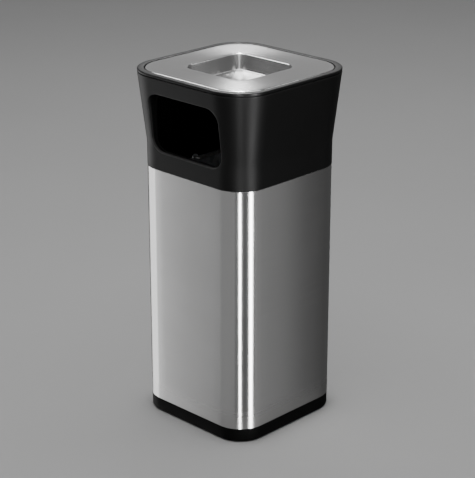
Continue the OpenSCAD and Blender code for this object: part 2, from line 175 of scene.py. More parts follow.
def makeBrushedTube():
    look = {"dark": 0.57, "pale": 0.63, "roughness": 0.215, "stretch": 0.86, "turn": 0.25, "scratch": 0.10,
            "dust": 0.35, "dustLow": 0.024, "dustHigh": 0.060, "grain": 0.025, "grainDeep": 0.00006}
    f = Finish("brushedTube")
    hairs = f.noise(1.0, 5.0, 0.62, (9, 9, 2600))
    bands = f.noise(1.0, 2.0, 0.5, (3, 3, 160))
    cloud = f.noise(9.0, 3.0, 0.55)
    scratch = f.span(f.noise(1.0, 1.0, 0.4, (12, 12, 5200)), 0.735, 0.76)
    edgeRubAndHighlight = f.rubAndHighlight()
    dust = 1 - f.height(look["dustLow"], look["dustHigh"])
    tint = f.tone(f.span(hairs, 0.3, 0.7), grey(look["dark"], steelWarm), grey(look["pale"], steelWarm))
    tint = f.tone(scratch * look["scratch"], tint, grey(0.85))
    tint = f.tone(dust * f.span(cloud, 0.4, 0.8) * look["dust"], tint, grey(0.30, 0.05))
    rough = look["roughness"] + f.span(hairs, 0.25, 0.75) * 0.04 + f.span(cloud, 0.45, 0.75) * 0.02
    rough = rough + f.span(bands, 0.4, 0.7) * 0.01 + dust * 0.08 - edgeRubAndHighlight * 0.05
    return f.surface(Base_Color=tint, Metallic=1.0, Roughness=rough, Anisotropic=look["stretch"],
                     Anisotropic_Rotation=look["turn"],
                     Normal=f.bump(hairs + bands * 0.4, look["grain"], look["grainDeep"]))


def makeTrayBrushed():
    look = {"dark": 0.56, "pale": 0.68, "roughness": 0.15, "stretch": 0.80, "turn": 0.25, "grainTurn": -45.0,
            "scratch": 0.25, "scorch": 0.35, "scorchLow": 0.571, "scorchHigh": 0.584, "grain": 0.06,
            "grainDeep": 0.00006}
    f = Finish("trayBrushed")
    hairs = f.noise(1.0, 4.0, 0.6, (26, 2400, 400), look["grainTurn"])
    streaks = f.noise(1.0, 2.0, 0.5, (8, 420, 120), look["grainTurn"])
    cloud = f.noise(14.0, 3.0, 0.5)
    inDish = 1 - f.height(look["scorchLow"], look["scorchHigh"])
    scorch = f.span(f.noise(46.0, 4.0, 0.62), 0.60, 0.78) * inDish
    scratch = f.span(f.noise(1.0, 2.0, 0.5, (60, 900, 60), 31.0), 0.70, 0.74)
    edgeRubAndHighlight = f.rubAndHighlight(180.0, 0.30, 0.55)
    tint = f.tone(f.span(hairs, 0.3, 0.7), grey(look["dark"], steelWarm), grey(look["pale"], steelWarm))
    tint = f.tone(scratch * look["scratch"], tint, grey(0.80))
    # Edges with a high value lighten: edge wear, and along the plate's outer edge and dish lip a painted
    # highlight
    tint = f.tone(edgeRubAndHighlight * 0.5, tint, grey(0.82))
    tint = f.tone(scorch * look["scorch"], tint, (0.20, 0.17, 0.14, 1))
    rough = look["roughness"] + f.span(hairs, 0.25, 0.75) * 0.06 + f.span(cloud, 0.4, 0.7) * 0.02
    rough = rough + scorch * 0.2 - edgeRubAndHighlight * 0.06
    return f.surface(Base_Color=tint, Metallic=1.0, Roughness=rough, Anisotropic=look["stretch"],
                     Anisotropic_Rotation=look["turn"],
                     Normal=f.bump(hairs + streaks * 0.6, look["grain"], look["grainDeep"]))


# The black mouldings share one finish. footDust is the heights between which floor dust fades out. The scuff
# shade is what worn edges and scuffs fade to, and on the head it also paints a highlight line along the
# opening's sill
mouldingLooks = {
    "headPlastic": {"shade": 0.005, "roughness": 0.41, "grain": 0.08, "grainSize": 1500.0,
                    "scuffAndHighlightShade": 0.14, "gloss": 0.17},
    "rimPlastic": {"shade": 0.005, "roughness": 0.34, "grain": 0.06, "grainSize": 1700.0,
                   "scuffAndHighlightShade": 0.03, "gloss": 0.20},
    "plinthPlastic": {"shade": 0.002, "roughness": 0.55, "grain": 0.18, "grainSize": 1100.0,
                      "scuffAndHighlightShade": 0.01, "gloss": 0.04, "footDust": (0.002, 0.020)},
    "gripPlastic": {"shade": 0.014, "roughness": 0.42, "grain": 0.20, "grainSize": 1600.0,
                    "scuffAndHighlightShade": 0.08, "gloss": 0.45},
}


def makeMoulding(name):
    look = mouldingLooks[name]
    shade, rubAndLit = look["shade"], grey(look["scuffAndHighlightShade"])
    f = Finish(name)
    leather = f.noise(look["grainSize"], 3.0, 0.55)
    cloud = f.noise(7.0, 3.0, 0.5)
    scuff = f.span(f.noise(1.0, 3.0, 0.6, (90, 90, 700), 20.0), 0.66, 0.74)
    edgeRubAndHighlight = f.rubAndHighlight(260.0, 0.15, 0.45)
    tint = f.tone(f.span(leather, 0.35, 0.65), grey(shade * 0.85), grey(shade * 1.15))
    # Edges with a high value lighten to the scuff shade: worn edges, and on the head's opening a painted
    # highlight line
    tint = f.tone(edgeRubAndHighlight * 0.55, tint, rubAndLit)
    tint = f.tone(scuff * 0.03, tint, rubAndLit)
    rough = look["roughness"] + f.span(leather, 0.3, 0.7) * 0.06 + f.span(cloud, 0.4, 0.7) * 0.05
    rough = rough + scuff * 0.08 - edgeRubAndHighlight * 0.10
    if "footDust" in look:
        dust = (1 - f.height(*look["footDust"])) * f.span(f.noise(60.0, 4.0, 0.6), 0.35, 0.7)
        tint = f.tone(dust * 0.05, tint, (0.12, 0.105, 0.09, 1))
        rough = rough + dust * 0.2
    return f.surface(Base_Color=tint, Roughness=rough, Specular_IOR_Level=look["gloss"],
                     Normal=f.bump(leather, look["grain"], 0.00008))


def makeGalvanised():
    look = {"flakes": 105.0, "roughness": 0.44, "stain": 0.30, "metal": 0.85}
    f = Finish("galvanised")
    crystals = f.put("ShaderNodeTexVoronoi", {"feature": "F1"},
                     {"Vector": f.place((1, 1, 0.8)), "Scale": look["flakes"], "Randomness": 1.0},
                     out="Color")
    flake = f.put("ShaderNodeSeparateColor", {}, {"Color": crystals}, out=0)
    cloud = f.noise(16.0, 4.0, 0.55)
    stain = f.span(f.noise(1.0, 4.0, 0.6, (30, 30, 8)), 0.56, 0.78)
    edgeRubAndHighlight = f.rubAndHighlight()
    tint = f.tone(flake, (0.36, 0.375, 0.39, 1), (0.58, 0.595, 0.61, 1))
    tint = f.tone(stain * look["stain"], tint, (0.24, 0.23, 0.21, 1))
    tint = f.tone(edgeRubAndHighlight * 0.2, tint, grey(0.7))
    rough = look["roughness"] + flake * 0.16 + f.span(cloud, 0.4, 0.7) * 0.08
    return f.surface(Base_Color=tint, Metallic=look["metal"], Roughness=rough,
                     Normal=f.bump(flake * 0.4 + cloud, 0.12, 0.0002))


def makePlating():
    look = {"roughness": 0.44}
    f = Finish("zincPlating")
    speck = f.noise(900.0, 3.0, 0.5)
    cloud = f.noise(120.0, 3.0, 0.5)
    edgeRubAndHighlight = f.rubAndHighlight()
    tint = f.tone(f.span(cloud, 0.35, 0.7), (0.55, 0.56, 0.57, 1), (0.66, 0.66, 0.62, 1))
    tint = f.tone(edgeRubAndHighlight * 0.5, tint, grey(0.8))
    rough = look["roughness"] + f.span(speck, 0.3, 0.7) * 0.14
    return f.surface(Base_Color=tint, Metallic=1.0, Roughness=rough,
                     Normal=f.bump(speck, 0.15, 0.00005))


def makeDrawnSteel():
    look = {"dark": 0.44, "pale": 0.60, "roughness": 0.38, "rust": 0.35}
    f = Finish("drawnSteel")
    lines = f.noise(1.0, 4.0, 0.6, (300, 300, 300))
    fine = f.noise(1500.0, 2.0, 0.5)
    rust = f.span(f.noise(38.0, 5.0, 0.65), 0.66, 0.76)
    tint = f.tone(f.span(lines, 0.3, 0.7), grey(look["dark"]), grey(look["pale"]))
    tint = f.tone(rust * look["rust"], tint, (0.19, 0.10, 0.055, 1))
    rough = look["roughness"] + f.span(fine, 0.3, 0.7) * 0.10 + rust * 0.3
    return f.surface(Base_Color=tint, Metallic=1.0, Roughness=rough,
                     Normal=f.bump(fine + lines, 0.10, 0.00006))


def makeRubber():
    look = {"shade": 0.018, "roughness": 0.72, "gloss": 0.35, "dust": 0.5, "dustHigh": 0.006}
    f = Finish("footRubber")
    grain = f.noise(1400.0, 3.0, 0.6)
    dust = f.span(f.noise(90.0, 4.0, 0.6), 0.45, 0.75) * (1 - f.height(0.0, look["dustHigh"]))
    tint = f.tone(dust * look["dust"], grey(look["shade"]), (0.10, 0.095, 0.088, 1))
    return f.surface(Base_Color=tint, Roughness=look["roughness"] + f.span(grain, 0.3, 0.7) * 0.14,
                     Specular_IOR_Level=look["gloss"], Normal=f.bump(grain, 0.25, 0.00012))


def makeFloorPaint():
    look = {"dark": 0.545, "pale": 0.565, "roughness": 0.62}
    f = Finish("paleFloor")
    cloud = f.noise(1.4, 4.0, 0.5)
    grain = f.noise(420.0, 2.0, 0.5)
    tint = f.tone(f.span(cloud, 0.3, 0.7), grey(look["dark"]), grey(look["pale"]))
    return f.surface(Base_Color=tint, Roughness=look["roughness"] + f.span(grain, 0.3, 0.7) * 0.08,
                     Specular_IOR_Level=0.0, Normal=f.bump(grain, 0.04, 0.0002))


# One finish for each slot
finishes = {
    "brushed_tube": makeBrushedTube(),
    "tray_steel": makeTrayBrushed(),
    "head_black": makeMoulding("headPlastic"),
    "rim_black": makeMoulding("rimPlastic"),
    "plinth_black": makeMoulding("plinthPlastic"),
    "grip_black": makeMoulding("gripPlastic"),
    "galvanised": makeGalvanised(),
    "fasteners": makePlating(),
    "plain_steel": makeDrawnSteel(),
    "foot_rubber": makeRubber(),
}
print("finishes made:", len(finishes))


# Mesh tools. Pieces are drawn in millimetres, and become metres when the mesh is made
def mmBox(node):
    low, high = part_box(node)
    return low * 1000, high * 1000


def arcPoints(centreU, centreV, radius, start, end, steps, *rubAndLit):
    points = []
    for i in range(steps + 1):
        a = math.radians(start + (end - start) * i / steps)
        points.append((centreU + radius * math.cos(a), centreV + radius * math.sin(a), *rubAndLit))
    return points


# A rounded square's outline, going round from the +X side. A seam is a V down the +Y side
def squarePath(half, radius, cornerSteps=14, sideSteps=8, seam=None):
    flat = half - radius
    path = []
    for c, s in ((1, 0), (0, 1), (-1, 0), (0, -1)):
        side = [-flat + 2 * flat * i / sideSteps for i in range(1, sideSteps)]
        if seam:
            middle = len(side) // 2
            side[middle:middle + 1] = [-2 * seam[0], -seam[0], 0, seam[0], 2 * seam[0]]
        for v in side:
            sunk = seam[1] if seam and s == 1 and v == 0 else 0
            path.append(((half - sunk) * c - v * s, (half - sunk) * s + v * c))
        for i in range(cornerSteps + 1):
            a = math.radians(90 * i / cornerSteps)
            u, v = flat + radius * math.cos(a), flat + radius * math.sin(a)
            path.append((u * c - v * s, u * s + v * c))
    return path


# Skins a list of equal-length rings. ends: "closed" joins last to first, "capped" fills both ends
def skin(rings, ends="closed", skip=None):
    count = len(rings[0])
    faces = []
    last = len(rings) if ends == "closed" else len(rings) - 1
    for r in range(last):
        a, b = r * count, ((r + 1) % len(rings)) * count
        for i in range(count):
            j = (i + 1) % count
            if not (skip and skip(r, i)):
                faces.append((a + i, a + j, b + j, b + i))
    if ends == "capped":
        faces.append(tuple(range(count)))
        faces.append(tuple(range((len(rings) - 1) * count, len(rings) * count)))
    return faces


# Collects the closed solids of one piece, with a value for each point that sets edge wear and, on the head's
# opening and the ashtray's edges, a painted highlight
class Form:
    def __init__(self):
        self.points = []
        self.faces = []
        self.rubAndHighlight = []

    def add(self, rings, rubAndLit, ends="closed", skip=None):
        base = len(self.points)
        for ring, value in zip(rings, rubAndLit):
            self.points += ring
            self.rubAndHighlight += [value] * len(ring)
        self.faces += [tuple(base + i for i in face) for face in skin(rings, ends, skip)]

    # A profile of (half width, height, wear) carried round a square whose corner centres lie core away.
    # Where the wear is "plain" the seam's points are there but its groove isn't
    def hoop(self, core, profile, ends="closed", cornerSteps=14, sideSteps=8, seam=None):
        rings, rubAndLit = [], []
        for half, z, *value in profile:
            plain = value and value[0] == "plain"
            groove = (seam[0], 0) if seam and plain else seam
            path = squarePath(half, max(half - core, 0.05), cornerSteps, sideSteps, groove)
            rings.append([(x, y, z) for x, y in path])
            rubAndLit.append(value[0] if value and not plain else 0.0)
        self.add(rings, rubAndLit, ends)

    # A profile of (radius, distance along, wear, flats) spun round an axis; flats makes a hexagon
    def turn(self, profile, centre, axis="Z", ends="capped", steps=36):
        rings, rubAndLit = [], []
        for radius, along, *more in profile:
            ring = []
            for i in range(steps):
                a = 2 * math.pi * i / steps
                reach = radius
                if len(more) > 1:
                    fold = (a % (math.pi / 3)) - math.pi / 6
                    reach = min(radius, more[1] / math.cos(fold))
                u, v = reach * math.cos(a), reach * math.sin(a)
                offset = {"Z": (u, v, along), "X": (along, u, v)}[axis]
                ring.append(tuple(c + o for c, o in zip(centre, offset)))
            rings.append(ring)
            rubAndLit.append(more[0] if more else 0.0)
        self.add(rings, rubAndLit, ends)

    # A round bar along a flat path, with a radius at each point
    def bar(self, path, radii, z, steps=20):
        rings = []
        for i, (x, y) in enumerate(path):
            ax, ay = path[max(i - 1, 0)]
            bx, by = path[min(i + 1, len(path) - 1)]
            length = math.hypot(bx - ax, by - ay)
            sideX, sideY = (by - ay) / length, -(bx - ax) / length
            ring = []
            for k in range(steps):
                a = 2 * math.pi * k / steps
                u, v = radii[i] * math.cos(a), radii[i] * math.sin(a)
                ring.append((x + sideX * u, y + sideY * u, z + v))
            rings.append(ring)
        self.add(rings, [0.0] * len(rings), "capped")

    # A flat rib with softened edges between two corners, turned about the upright axis through pivot
    def rib(self, low, high, soft=0.4, turn=0.0, pivot=(0, 0)):
        c, s = math.cos(math.radians(turn)), math.sin(math.radians(turn))
        rings = []
        for z, inset in ((low[2], soft), (low[2] + soft, 0), (high[2] - soft, 0), (high[2], soft)):
            ring = []
            for x, y in ((low[0] + inset, low[1] + inset), (high[0] - inset, low[1] + inset),
                         (high[0] - inset, high[1] - inset), (low[0] + inset, high[1] - inset)):
                ring.append((pivot[0] + x * c - y * s, pivot[1] + x * s + y * c, z))
            rings.append(ring)
        self.add(rings, (0.4, 0.0, 0.0, 0.4), "capped")

    def make(self, name, body, slot, node, sharp=40.0):
        mesh = bpy.data.meshes.new(name)
        mesh.from_pydata([Vector(point) * 0.001 for point in self.points], [], self.faces)
        bm = bmesh.new()
        bm.from_mesh(mesh)
        layer = bm.verts.layers.float.new("rubAndHighlight")
        for vert, value in zip(bm.verts, self.rubAndHighlight):
            vert[layer] = value
        bmesh.ops.recalc_face_normals(bm, faces=bm.faces)
        bm.to_mesh(mesh)
        bm.free()
        mesh.shade_smooth()
        mesh.set_sharp_from_angle(angle=math.radians(sharp))
        mesh.materials.append(finishes[slot])
        piece = bpy.data.objects.new(name, mesh)
        bpy.context.scene.collection.objects.link(piece)
        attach(piece, body)
        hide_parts(node)


def fourCorners(place):
    return [(x * place, y * place) for x in (-1, 1) for y in (-1, 1)]


# The tube: one sheet, bent round and welded down the middle of its back
tubeSet = {"cornerRadius": 47.5, "wall": 0.8, "edge": 0.25, "endBand": 3.0, "seamHalf": 0.5,
           "seamDepth": 0.35}
tubeLow, tubeHigh = mmBox("body_tube")
tubeHalf = tubeHigh.x
tubeCore = tubeHalf - tubeSet["cornerRadius"]


def makeTube():
    e, band = tubeSet["edge"], tubeSet["endBand"]
    inside = tubeHalf - tubeSet["wall"]
    low, high = tubeLow.z, tubeHigh.z
    middle = (low + high) / 2
    profile = [(tubeHalf - e, low, 0.6), (tubeHalf, low + e, 0.6), (tubeHalf, low + band), (tubeHalf, middle),
               (tubeHalf, high - band), (tubeHalf, high - e, 0.6), (tubeHalf - e, high, 0.6),
               (inside, high, "plain"), (inside, middle, "plain"), (inside, low, "plain")]
    form = Form()
    form.hoop(tubeCore, profile, cornerSteps=24, seam=(tubeSet["seamHalf"], tubeSet["seamDepth"]))
    form.make("steelTube", "body", "brushed_tube", "body_tube")


makeTube()
print("tube made")

# The plinth: a skirt that the tube stands on, with a ribbed deck and a boss over each foot
plinthSet = {"edge": 3.0, "shoulder": 0.3, "panelGap": 0.1, "soft": 0.5, "spigotIn": 1.2, "spigotLead": 0.8,
             "deckThick": 3.0, "deckDown": 1.0, "ribs": 40.0, "ribThick": 2.5, "ribUp": 3.0, "boss": 8.0,
             "bossHole": 2.1, "webLong": 7.0, "webThick": 1.8, "webUp": 2.0, "webSoft": 0.3, "footIn": 32.0}
footPlace = tubeHalf - plinthSet["footIn"]


def makePlinth():
    s = plinthSet
    low, high = mmBox("base_plinth")
    half, top = high.x, tubeLow.z
    edge, shoulder, soft, lead = s["edge"], s["shoulder"], s["soft"], s["spigotLead"]
    inside = mmBox("floor_panel")[1].x + s["panelGap"]
    spigot = tubeHalf - s["spigotIn"]
    profile = [(inside + soft, low.z, 0.2)]
    profile += arcPoints(half - edge, low.z + edge, edge, -90, 0, 6, 0.7)
    profile += arcPoints(half - shoulder, top - shoulder, shoulder, 0, 90, 2, 0.8)
    profile += [(spigot, top), (spigot, high.z - 1.4), (spigot - lead, high.z, 0.2),
                (inside + 0.3, high.z, 0.2), (inside, high.z - 0.4), (inside, low.z + soft)]
    form = Form()
    form.hoop(tubeCore, profile, cornerSteps=20)
    deckTop = top - s["deckDown"]
    deckLow = deckTop - s["deckThick"]
    form.hoop(tubeCore, [(inside + 0.8, deckLow), (inside + 0.8, deckTop)], "capped")
    ribEnd, ribLow, ribHigh = inside + soft, low.z + s["ribUp"], deckLow + 0.6  # each rib bites into the deck
    for place in (-s["ribs"], s["ribs"]):
        near, far = place - s["ribThick"] / 2, place + s["ribThick"] / 2
        form.rib((near, -ribEnd, ribLow), (far, ribEnd, ribHigh))
        form.rib((-ribEnd, near, ribLow), (ribEnd, far, ribHigh))
    footTop = mmBox("foot_pads")[1].z
    boss, hole, bossTop = s["boss"], s["bossHole"], deckLow + soft
    web = s["webThick"] / 2
    for x, y in fourCorners(footPlace):
        form.turn([(hole, footTop), (boss - soft, footTop, 0.4), (boss, footTop + soft), (boss, bossTop),
                   (hole, bossTop)], (x, y, 0), ends="closed")
        for turn in (45, 135, 225, 315):
            form.rib((boss - 1, -web, footTop + s["webUp"]), (boss + s["webLong"], web, bossTop),
                     s["webSoft"], turn, (x, y))
    form.make("plinthMoulding", "body", "plinth_black", "base_plinth")


makePlinth()

footSet = {"radius": 13.0, "edge": 1.0, "topEdge": 0.4, "bore": 3.9, "hole": 2.1, "seatUp": 4.0,
           "grooves": (6.2, 9.0), "grooveHalf": 0.6, "grooveFloor": 0.3, "grooveDeep": 0.7}
screwSet = {"radius": 2.0, "head": 3.8, "headHigh": 2.4, "socket": 1.35, "socketDeep": 1.5}
nutSet = {"flats": 3.5, "cornersToFlats": 1.1547, "hole": 2.1, "chamfer": 0.5}


# A pan head with a hexagon socket; down is -1 where the head faces the ground
def screwProfile(seat, down, tail, radius, head, headHigh, socket, deep):
    face = seat + down * headHigh
    floor = face - down * deep
    wide = socket * 1.6  # past the hexagon's corners, so the flats shape the whole socket
    return [(0.2, floor, 0.0, socket), (wide, floor, 0.0, socket), (wide, face, 0.3, socket),
            (head - 0.9, face, 0.5), (head - 0.35, seat + down * headHigh * 0.85, 0.8),
            (head, seat + down * headHigh * 0.5, 0.6), (head, seat, 0.2), (radius, seat),
            (radius, tail + down * 0.6), (radius - 0.6, tail), (0.2, tail)]


def makeFeet():
    s = footSet
    low, high = mmBox("foot_pads")
    feet, screws, nuts = Form(), Form(), Form()
    tail = mmBox("foot_screws")[1].z
    nutLow, nutHigh = mmBox("foot_nuts")
    bore, edge, topEdge = s["bore"], s["edge"], s["topEdge"]
    foot = [(bore, low.z + 0.3), (bore + 0.3, low.z)]
    for groove in s["grooves"]:
        half, floor, sunk = s["grooveHalf"], s["grooveFloor"], low.z + s["grooveDeep"]
        foot += [(groove - half, low.z), (groove - floor, sunk), (groove + floor, sunk),
                 (groove + half, low.z)]
    foot += arcPoints(s["radius"] - edge, low.z + edge, edge, -90, 0, 4, 0.5)
    foot += arcPoints(s["radius"] - topEdge, high.z - topEdge, topEdge, 0, 90, 2, 0.3)
    foot += [(s["hole"], high.z), (s["hole"], s["seatUp"]), (bore, s["seatUp"])]
    screw = screwProfile(s["seatUp"], -1, tail, screwSet["radius"], screwSet["head"], screwSet["headHigh"],
                         screwSet["socket"], screwSet["socketDeep"])
    hole, flats, chamfer = nutSet["hole"], nutSet["flats"], nutSet["chamfer"]
    wide = flats * nutSet["cornersToFlats"]
    nut = [(hole, nutLow.z, 0.2), (flats, nutLow.z, 0.4), (wide, nutLow.z + chamfer, 0.6, flats),
           (wide, nutHigh.z - chamfer, 0.6, flats), (flats, nutHigh.z, 0.4), (hole, nutHigh.z, 0.2)]
    for x, y in fourCorners(footPlace):
        feet.turn(foot, (x, y, 0), ends="closed", steps=48)
        screws.turn(screw, (x, y, 0))
        nuts.turn(nut, (x, y, 0), ends="closed")
    feet.make("rubberFeet", "body", "foot_rubber", "foot_pads")
    screws.make("footScrews", "body", "fasteners", "foot_screws")
    nuts.make("footNuts", "body", "fasteners", "foot_nuts")


makeFeet()
print("plinth and feet made")

# The head: a flared shell with a letter-box opening let into its front
# The sill value paints a highlight line along the opening's sill and up its left side
headSet = {"proud": 0.4, "wall": 3.0, "bandHeight": 41.0, "kinkRadius": 100.0, "seat": 0.3, "skirtIn": 3.2,
           "skirtWall": 3.0, "openingSide": 41.5, "openingHeight": 98.0, "openingSill": 31.5,
           "openingRadius": 24.0, "openingRound": 1.6, "lipWall": 2.5, "lipDepth": 12.0, "edge": 0.8,
           "patchHalf": 60.0, "sillHighlight": 3.0, "edgeWear": 0.2}
headLow, headHigh = mmBox("head_shell")
bandHalf = tubeHalf + headSet["proud"]
kinkHeight = tubeHigh.z + headSet["bandHeight"]
kinkAngle = math.atan2(headHigh.x - bandHalf, headHigh.z - kinkHeight)
kinkRun = headSet["kinkRadius"] * math.tan(kinkAngle / 2)


# Half width of the head's outer face at a height
def headHalf(z):
    start = kinkHeight - kinkRun
    if z <= start:
        return bandHalf
    if z >= kinkHeight + kinkRun * math.cos(kinkAngle):
        return bandHalf + (z - kinkHeight) * math.tan(kinkAngle)
    radius = headSet["kinkRadius"]
    return bandHalf + radius - math.sqrt(radius ** 2 - (z - start) ** 2)


# How far the front lies from the middle plane, at a place across it and up it
def headFront(x, z, depth=0.0):
    half = headHalf(z) - depth
    over = abs(x) - tubeCore
    if over <= 0:
        return half
    return tubeCore + math.sqrt(max((half - tubeCore) ** 2 - over ** 2, 0))


# A point on the opening's outline: side 0 is the sill, then right, top and left, t goes -1 to 1
def openingPoint(grow, side, t):
    radius = headSet["openingRadius"] + grow
    width = 2 * (tubeHalf - headSet["openingSide"] + grow)
    size = (width, headSet["openingHeight"] + 2 * grow)
    straight = size[side % 2] / 2 - radius
    s = abs(t) * (straight + radius * math.pi / 4)
    u, v = s, size[1 - side % 2] / 2
    if s > straight:
        a = (s - straight) / radius
        u, v = straight + radius * math.sin(a), v - radius + radius * math.cos(a)
    u = math.copysign(u, t)
    return ((u, -v), (v, u), (-u, v), (-v, -u))[side]


def makeHead():
    s = headSet
    cornerSteps, sideSteps, reach, rows, first = 16, 36, 5, 36, 3
    bottom, top, e, inside = tubeHigh.z + s["seat"], headHigh.z, s["edge"], s["wall"]
    middle = tubeHigh.z + s["openingSill"] + s["openingHeight"] / 2
    levels = [bottom + e, bottom + 2, bottom + 8]
    levels += [middle + s["patchHalf"] * (2 * i / rows - 1) for i in range(rows + 1)]
    levels += [top - 6, top - 3, top - e]
    outline = [(headHalf(bottom) - e, bottom, 0.3)]
    outline += [(headHalf(z), z, s["edgeWear"] if z in (levels[0], levels[-1]) else 0.0) for z in levels]
    outline += arcPoints(headHigh.x - e, top - e, e, 30, 90, 2, s["edgeWear"])
    outline += [(headHigh.x - inside + 0.4, top)]
    innerStart = len(outline)
    outline += [(headHalf(z) - inside, min(z, top - 0.4)) for z in reversed(levels)]
    skirt = headHalf(bottom) - s["skirtIn"]
    skirtIn = skirt - s["skirtWall"]
    outline += [(skirtIn, bottom - 3), (skirtIn, headLow.z + 0.8), (skirtIn + 0.8, headLow.z, 0.4),
                (skirt - 0.8, headLow.z, 0.4), (skirt, headLow.z + 0.8, 0.4), (skirt, bottom - 0.2),
                (skirt + 0.2, bottom)]
    rings, rubAndLit = [], []
    for half, z, *value in outline:
        path = squarePath(half, half - tubeCore, cornerSteps, sideSteps)
        rings.append([(x, y, z) for x, y in path])
        rubAndLit.append(value[0] if value else 0.0)
    count = len(rings[0])
    quarter = count // 4
    begin = 3 * quarter - 1 - reach  # the front is the last quarter, and the patch reaches into its corners
    end = 3 * quarter + sideSteps - 1 + reach
    outerFirst = 1 + first
    outerLast = outerFirst + rows
    innerFirst = innerStart + len(levels) - 1 - first - rows
    innerLast = innerFirst + rows

    def skip(r, i):
        inRows = outerFirst <= r < outerLast or innerFirst <= r < innerLast
        return inRows and begin <= i < end

    form = Form()
    form.add(rings, rubAndLit, "closed", skip)
    columns = end - begin

    # The patch's edge on one skin, from its lower left corner round to the right
    def border(lowRing, highRing):
        step = 1 if highRing > lowRing else -1
        ids = [(lowRing, begin + i) for i in range(columns)]
        ids += [(lowRing + step * k, end) for k in range(rows)]
        ids += [(highRing, end - i) for i in range(columns)]
        ids += [(highRing - step * k, begin) for k in range(rows)]
        return [r * count + i % count for r, i in ids]

    places = []
    for side in range(4):
        steps = (columns, rows)[side % 2]
        places += [(side, 2 * i / steps - 1) for i in range(steps)]
    outerBorder = border(outerFirst, outerLast)
    innerBorder = border(innerLast, innerFirst)

    def addLoop(points, value=0.0):
        base = len(form.points)
        form.points += points
        form.rubAndHighlight += value if isinstance(value, list) else [value] * len(points)
        return list(range(base, base + len(points)))

    # A painted highlight lightens the sill and the side that runs up from its left end
    def sillHighlightAt(side, t):
        if side == 0:
            return min(1.0, (1 - t) * 4) * s["sillHighlight"]
        return min(1.0, (1 + t) * 1.5) * s["sillHighlight"] if side == 3 else 0.0

    # Loops that turn the patch's edge into the opening's outline, lying in the head's skin
    def spread(borderIds, grow, depth, steps):
        loops = []
        for k in range(1, steps + 1):
            share = (k / steps) ** 0.8
            points = []
            for index, place in zip(borderIds, places):
                u, v = openingPoint(grow, *place)
                fromX, _, fromZ = form.points[index]
                x, z = fromX + (u - fromX) * share, fromZ + (middle + v - fromZ) * share
                points.append((x, -headFront(x, z, depth), z))
            loops.append(points)
        return loops

    chain = [outerBorder]
    r = s["openingRound"]
    for points in spread(outerBorder, r, 0.0, 9):
        chain.append(addLoop(points))
    for k in range(1, 6):
        a = math.radians(90 * k / 5)
        points = []
        for place in places:
            u, v = openingPoint(r * (1 - math.sin(a)), *place)
            points.append((u, r * (1 - math.cos(a)) - headFront(u, middle + v), middle + v))
        chain.append(addLoop(points, [sillHighlightAt(*place) for place in places]))
    lipEnd = s["lipDepth"] - tubeHalf
    for share in (0.35, 0.7):
        points = []
        for place in places:
            u, v = openingPoint(0, *place)
            front = r - headFront(u, middle + v)
            points.append((u, front + (lipEnd - 0.8 - front) * share, middle + v))
        chain.append(addLoop(points))
    lip = s["lipWall"]
    for grow, back in ((0, -0.8), (0.25, -0.2), (0.8, 0), (lip - 0.8, 0), (lip - 0.2, -0.3), (lip, -0.9)):
        loop = []
        for place in places:
            u, v = openingPoint(grow, *place)
            loop.append((u, lipEnd + back, middle + v))
        chain.append(addLoop(loop, 0.3))
    for points in reversed(spread(innerBorder, lip, inside, 6)):
        chain.append(addLoop(points))
    chain.append(innerBorder)
    size = len(outerBorder)
    for a, b in zip(chain, chain[1:]):
        form.faces += [(a[i], a[(i + 1) % size], b[(i + 1) % size], b[i]) for i in range(size)]
    addRimBosses(form)
    form.make("headShell", "head", "head_black", "head_shell")


# The rim: a hoop with a parting groove under it and a ledge that the ashtray lies on
rimSet = {"edge": 1.6, "groove": 1.6, "grooveDepth": 2.0, "rimWidth": 10.1, "recess": 4.6,
          "plateCornerIn": 3.4, "ledge": 3.0, "ledgeWidth": 10.9, "spigotIn": 4.5, "spigotWall": 2.5,
          "screwEdge": 3.4, "screwRadius": 1.6, "screwHead": 3.0, "screwHigh": 2.0, "boss": 4.0,
          "bossHigh": 16.0, "web": 2.5, "socket": 1.0, "socketDeep": 1.2,
          "padRadius": 3.6, "padSoft": 0.9, "padIn": 0.6}
rimLow, rimHigh = mmBox("top_bezel")
recessHalf = rimHigh.x - rimSet["rimWidth"]
ledgeTop = rimHigh.z - rimSet["recess"]
ledgeLow = ledgeTop - rimSet["ledge"]
ledgeIn = recessHalf - rimSet["ledgeWidth"]
plateCore = tubeCore - rimSet["plateCornerIn"]
rimScrewPlace = tubeCore + (ledgeIn - tubeCore + rimSet["screwEdge"]) * math.cos(math.radians(45))


def addRimBosses(form):
    s = rimSet
    low = ledgeLow - s["bossHigh"]
    reach = headHigh.x - headSet["wall"] - tubeCore - (rimScrewPlace - tubeCore) * math.sqrt(2)
    hole = s["screwRadius"] + 0.1
    for x, y in fourCorners(rimScrewPlace):
        form.turn([(hole, low), (s["boss"] - 0.4, low, 0.3), (s["boss"], low + 0.4), (s["boss"], ledgeLow),
                   (hole, ledgeLow)], (x, y, 0), ends="closed")
        turn = math.degrees(math.atan2(y, x))
        form.rib((hole + 0.6, -s["web"] / 2, low + 0.5), (reach, s["web"] / 2, rimLow.z - 0.3),
                 0.3, turn, (x, y))


makeHead()


